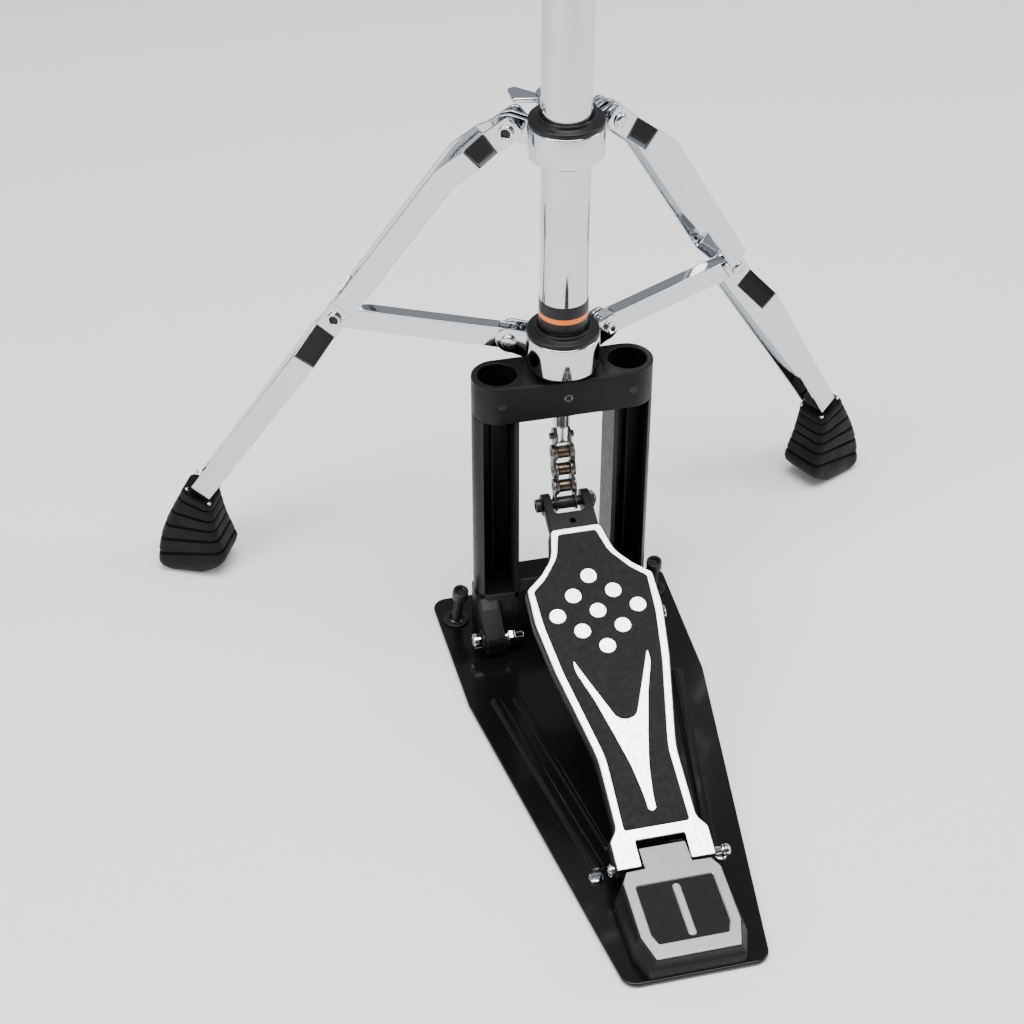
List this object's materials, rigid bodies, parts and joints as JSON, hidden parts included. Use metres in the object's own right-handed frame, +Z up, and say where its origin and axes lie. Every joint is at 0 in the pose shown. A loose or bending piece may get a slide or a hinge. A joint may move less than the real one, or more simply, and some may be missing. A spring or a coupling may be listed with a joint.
{
  "type": "hi-hat stand",
  "caption": "Two-legged hi-hat stand with a chain-driven footboard, folding strap legs, height tube, pull rod, cymbal seat and clutch.",
  "frame": {"origin": "on the floor under the main tube's axis, on the lower face of the rear rubber pad", "axes": "+Z up along the tube, +X to the player's right, +Y away from the player"},
  "size_m": [0.4886, 0.4386, 0.985],
  "materials": {
    "gloss_black": "gloss black enamel on sheet steel",
    "satin_black": "satin black powder coat on castings",
    "chrome": "polished chrome plate",
    "rod_steel": "bright plated steel rod",
    "face_silver": "brushed bright aluminium",
    "heel_silver": "brushed satin steel",
    "grip": "fine textured charcoal grip",
    "black_plastic": "moulded black nylon",
    "label": "printed black band with plain orange stripes",
    "rubber": "matte black rubber",
    "chain_steel": "dark oiled steel",
    "chain_roller": "bronze-toned hardened steel",
    "black_oxide": "black oxide screws",
    "spring_steel": "drawn spring steel",
    "brass": "turned brass",
    "felt": "pressed grey felt"
  },
  "bodies": {
    "stand": {"base_plate": "gloss_black", "base_pads": "rubber", "heel_block": "satin_black", "heel_plate": "heel_silver", "heel_grip": "grip", "plate_screws": "chrome", "hinge_pin": "chrome", "left_upright": "satin_black", "right_upright": "satin_black", "base_crossbar": "satin_black", "upright_pins": "chrome", "bridge": "satin_black", "bridge_bolts": "black_oxide", "main_tube": "chrome", "tube_label": "label", "rod_guide": "black_plastic", "height_clamp": "chrome", "clamp_bush": "black_plastic", "spike_nuts": "black_oxide"},
    "left_spike": {"left_spike": "black_oxide"},
    "right_spike": {"right_spike": "black_oxide"},
    "pedal": {"footboard": "satin_black", "footboard_rim": "face_silver", "footboard_grip": "grip", "footboard_inlays": "face_silver", "chain_axle": "black_oxide", "axle_nut": "chrome"},
    "pull_rod": {"lower_rod": "rod_steel", "upper_rod": "rod_steel", "spring_nut": "brass", "return_spring": "spring_steel"},
    "chain": {"chain_plates": "chain_steel", "chain_rollers": "chain_roller", "chain_pins": "chain_steel"},
    "lower_collar": {"lower_sleeve": "black_plastic", "lower_band": "chrome", "brace_bolts": "chrome"},
    "left_brace": {"left_brace": "chrome"},
    "right_brace": {"right_brace": "chrome"},
    "upper_collar": {"upper_sleeve": "black_plastic", "upper_band": "chrome", "leg_bolts": "chrome"},
    "collar_wing": {"collar_wing_bolt": "chrome"},
    "left_leg": {"left_front_strap": "chrome", "left_rear_strap": "chrome", "left_foot": "rubber", "left_mid_bolts": "chrome"},
    "right_leg": {"right_front_strap": "chrome", "right_rear_strap": "chrome", "right_foot": "rubber", "right_mid_bolts": "chrome"},
    "height_tube": {"height_tube": "chrome"},
    "clamp_wing": {"clamp_wing_bolt": "chrome"},
    "seat": {"seat_cup": "black_plastic", "seat_felt": "felt"},
    "tilt_screw": {"tilt_screw": "chrome"},
    "clutch": {"clutch_body": "chrome", "clutch_felts": "felt", "clutch_nuts": "chrome"},
    "clutch_wing": {"clutch_wing_bolt": "chrome"}
  },
  "joints": [
    {"name": "pedal_hinge", "type": "hinge", "parent": "stand", "child": "pedal", "pos_m": [0, -0.235, 0.0185], "axis": [-1, 0, 0], "range_deg": [0, 10], "stiffness_Nm_per_rad": 8, "springref_deg": -20.05},
    {"name": "rod_slide", "type": "slide", "parent": "stand", "child": "pull_rod", "axis": [0, 0, -1], "range_m": [0, 0.0387], "deforming": ["return_spring"]},
    {"name": "chain_swing", "type": "hinge", "parent": "pull_rod", "child": "chain", "pos_m": [0, 0, 0.144], "axis": [1, 0, 0], "range_deg": [0, 14.6]},
    {"name": "leg_swivel", "type": "hinge", "parent": "stand", "child": "lower_collar", "pos_m": [0, 0, 0.209], "axis": [0, 0, 1], "range_deg": [-35, 35]},
    {"name": "collar_slide", "type": "slide", "parent": "lower_collar", "child": "upper_collar", "axis": [0, 0, 1], "range_m": [0, 0.132]},
    {"name": "right_leg_fold", "type": "hinge", "parent": "upper_collar", "child": "right_leg", "pos_m": [0.02807, 0.0143, 0.3471], "axis": [-0.454, 0.891, 0], "range_deg": [0, 25.4]},
    {"name": "left_leg_fold", "type": "hinge", "parent": "upper_collar", "child": "left_leg", "pos_m": [-0.02807, 0.0143, 0.3471], "axis": [-0.454, -0.891, 0], "range_deg": [0, 25.4]},
    {"name": "right_brace_fold", "type": "hinge", "parent": "lower_collar", "child": "right_brace", "pos_m": [0.02762, 0.01407, 0.2102], "axis": [0.454, -0.891, 0], "range_deg": [0, 70.2]},
    {"name": "left_brace_fold", "type": "hinge", "parent": "lower_collar", "child": "left_brace", "pos_m": [-0.02762, 0.01407, 0.2102], "axis": [0.454, 0.891, 0], "range_deg": [0, 70.2]},
    {"name": "collar_wing_turn", "type": "hinge", "parent": "upper_collar", "child": "collar_wing", "pos_m": [0, 0.03, 0.3435], "axis": [0, 1, 0], "continuous": true},
    {"name": "height_slide", "type": "slide", "parent": "stand", "child": "height_tube", "axis": [0, 0, 1], "range_m": [-0.1, 0.03]},
    {"name": "clamp_wing_turn", "type": "hinge", "parent": "stand", "child": "clamp_wing", "pos_m": [0.026, 0.02, 0.595], "axis": [0, 1, 0], "continuous": true},
    {"name": "seat_tilt", "type": "hinge", "parent": "height_tube", "child": "seat", "pos_m": [0, -0.012, 0.7553], "axis": [1, 0, 0], "range_deg": [0, 5]},
    {"name": "tilt_screw_turn", "type": "hinge", "parent": "height_tube", "child": "tilt_screw", "pos_m": [0, 0.0196, 0.745], "axis": [0, 0, 1], "continuous": true},
    {"name": "clutch_slide", "type": "slide", "parent": "pull_rod", "child": "clutch", "axis": [0, 0, 1], "range_m": [0, 0.06]},
    {"name": "clutch_wing_turn", "type": "hinge", "parent": "clutch", "child": "clutch_wing", "pos_m": [0.01, 0, 0.893], "axis": [1, 0, 0], "continuous": true},
    {"name": "left_spike_turn", "type": "hinge", "parent": "stand", "child": "left_spike", "pos_m": [-0.065, 0.0084, 0.004], "axis": [0.0645, -0.2267, 0.9718], "continuous": true},
    {"name": "right_spike_turn", "type": "hinge", "parent": "stand", "child": "right_spike", "pos_m": [0.065, 0.0084, 0.004], "axis": [-0.0645, -0.2267, 0.9718], "continuous": true}
  ],
  "couplings": [
    {"joint": "rod_slide", "follows": "pedal_hinge", "m_per_rad": 0.22085},
    {"joint": "chain_swing", "follows": "pedal_hinge", "ratio": 1.4513},
    {"joint": "right_leg_fold", "follows": "collar_slide", "rad_per_m": 3.3392},
    {"joint": "left_leg_fold", "follows": "collar_slide", "rad_per_m": 3.3392},
    {"joint": "right_brace_fold", "follows": "collar_slide", "rad_per_m": 9.2524},
    {"joint": "left_brace_fold", "follows": "collar_slide", "rad_per_m": 9.2524}
  ]
}
